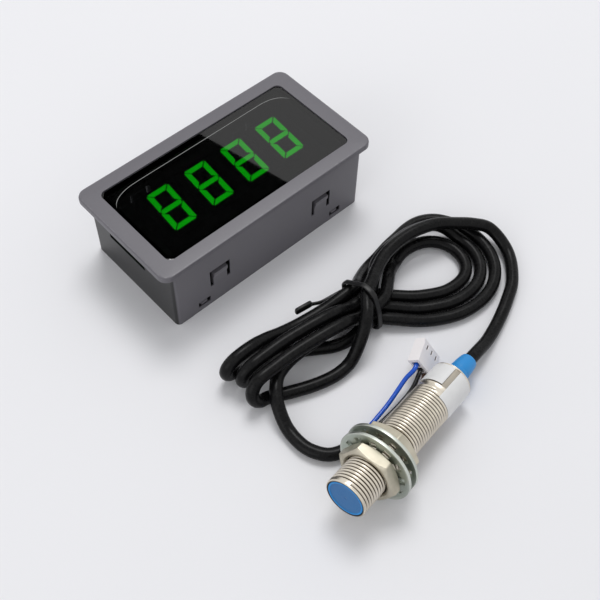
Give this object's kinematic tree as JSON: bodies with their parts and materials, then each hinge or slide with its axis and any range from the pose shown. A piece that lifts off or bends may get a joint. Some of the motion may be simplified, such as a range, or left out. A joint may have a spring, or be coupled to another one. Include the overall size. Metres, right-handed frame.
{
  "type": "digital tachometer",
  "caption": "Panel-mount digital tachometer: a rectangular grey meter with a green four-digit display, and a threaded sensor on a black cable tied in a hank.",
  "frame": {"origin": "centre of the meter's rear face", "axes": "+Z out of the meter's display, +X to the display's right, +Y to the display's top; the sensor lies on the bench in front of the display's bottom edge, at -Y"},
  "size_m": [0.1016, 0.1235, 0.026],
  "materials": {
    "case_plastic": "fine moulded texture",
    "smoked_window": "polished, smoked, see-through",
    "display_housing": "matt black",
    "lit_segment": "lit green",
    "circuit_board": "green solder mask",
    "black_component": "moulded",
    "can_metal": "satin",
    "header_plastic": "moulded",
    "nickel": "nickel plated",
    "sensor_blue": "moulded",
    "exit_blue": "moulded",
    "label_white": "satin film",
    "cable_black": "satin sheath",
    "tie_black": "moulded",
    "wire_blue": "smooth insulation",
    "wire_black": "smooth insulation",
    "wire_brown": "smooth insulation",
    "plug_white": "moulded",
    "tinned": "tinned"
  },
  "bodies": {
    "tachometer": {"front_case": "case_plastic", "display_window": "smoked_window", "rear_cover": "case_plastic", "main_board": "circuit_board", "display_module": "display_housing", "digit_1": "lit_segment", "digit_2": "lit_segment", "digit_3": "lit_segment", "digit_4": "lit_segment", "pin_strip_front": "black_component", "pin_strip_back": "black_component", "microcontroller": "black_component", "regulator": "black_component", "capacitor": "can_metal", "sensor_header": "header_plastic", "power_header": "header_plastic", "sensor_barrel": "nickel", "sensing_face": "sensor_blue", "hall_element": "black_component", "sensor_board": "circuit_board", "cable_exit": "exit_blue", "sensor_label": "label_white", "cable_lead": "cable_black", "cable_hank": "cable_black", "cable_tail": "cable_black", "cable_tie": "tie_black", "wire_blue": "wire_blue", "wire_black": "wire_black", "wire_brown": "wire_brown", "connector_housing": "plug_white", "crimp_terminal_1": "tinned", "crimp_terminal_2": "tinned", "crimp_terminal_3": "tinned"},
    "front_washer": {"front_washer": "nickel"},
    "front_nut": {"front_nut": "nickel"},
    "rear_washer": {"rear_washer": "nickel"},
    "rear_nut": {"rear_nut": "nickel"},
    "snap_tongue_front_left": {"snap_tongue_front_left": "case_plastic"},
    "snap_tongue_front_right": {"snap_tongue_front_right": "case_plastic"},
    "snap_tongue_back_left": {"snap_tongue_back_left": "case_plastic"},
    "snap_tongue_back_right": {"snap_tongue_back_right": "case_plastic"}
  },
  "joints": [
    {"name": "front_washer_travel", "type": "slide", "parent": "tachometer", "child": "front_washer", "axis": [0.98, 0.148, -0.1331], "range_m": [-0.007, 0.0008]},
    {"name": "front_nut_turn", "type": "hinge", "parent": "front_washer", "child": "front_nut", "pos_m": [-0.04183, -0.0939, 0.01299], "axis": [0.98, 0.148, -0.1331], "range_deg": [-2520, 288]},
    {"name": "rear_washer_travel", "type": "slide", "parent": "tachometer", "child": "rear_washer", "axis": [0.98, 0.148, -0.1331], "range_m": [-0.0008, 0.0058]},
    {"name": "rear_nut_turn", "type": "hinge", "parent": "rear_washer", "child": "rear_nut", "pos_m": [-0.04183, -0.0939, 0.01299], "axis": [0.98, 0.148, -0.1331], "range_deg": [-288, 2088]},
    {"name": "snap_tongue_front_left_flex", "type": "hinge", "parent": "tachometer", "child": "snap_tongue_front_left", "pos_m": [-0.0198, -0.01887, 0.0083], "axis": [-1, 0, 0], "range_deg": [0, 6], "stiffness_Nm_per_rad": 0.05},
    {"name": "snap_tongue_front_right_flex", "type": "hinge", "parent": "tachometer", "child": "snap_tongue_front_right", "pos_m": [0.0198, -0.01887, 0.0083], "axis": [-1, 0, 0], "range_deg": [0, 6], "stiffness_Nm_per_rad": 0.05},
    {"name": "snap_tongue_back_left_flex", "type": "hinge", "parent": "tachometer", "child": "snap_tongue_back_left", "pos_m": [-0.0198, 0.01887, 0.0083], "axis": [1, 0, 0], "range_deg": [0, 6], "stiffness_Nm_per_rad": 0.05},
    {"name": "snap_tongue_back_right_flex", "type": "hinge", "parent": "tachometer", "child": "snap_tongue_back_right", "pos_m": [0.0198, 0.01887, 0.0083], "axis": [1, 0, 0], "range_deg": [0, 6], "stiffness_Nm_per_rad": 0.05}
  ],
  "couplings": [
    {"joint": "front_nut_turn", "follows": "front_washer_travel", "rad_per_m": 6283.2},
    {"joint": "rear_nut_turn", "follows": "rear_washer_travel", "rad_per_m": 6283.2}
  ]
}
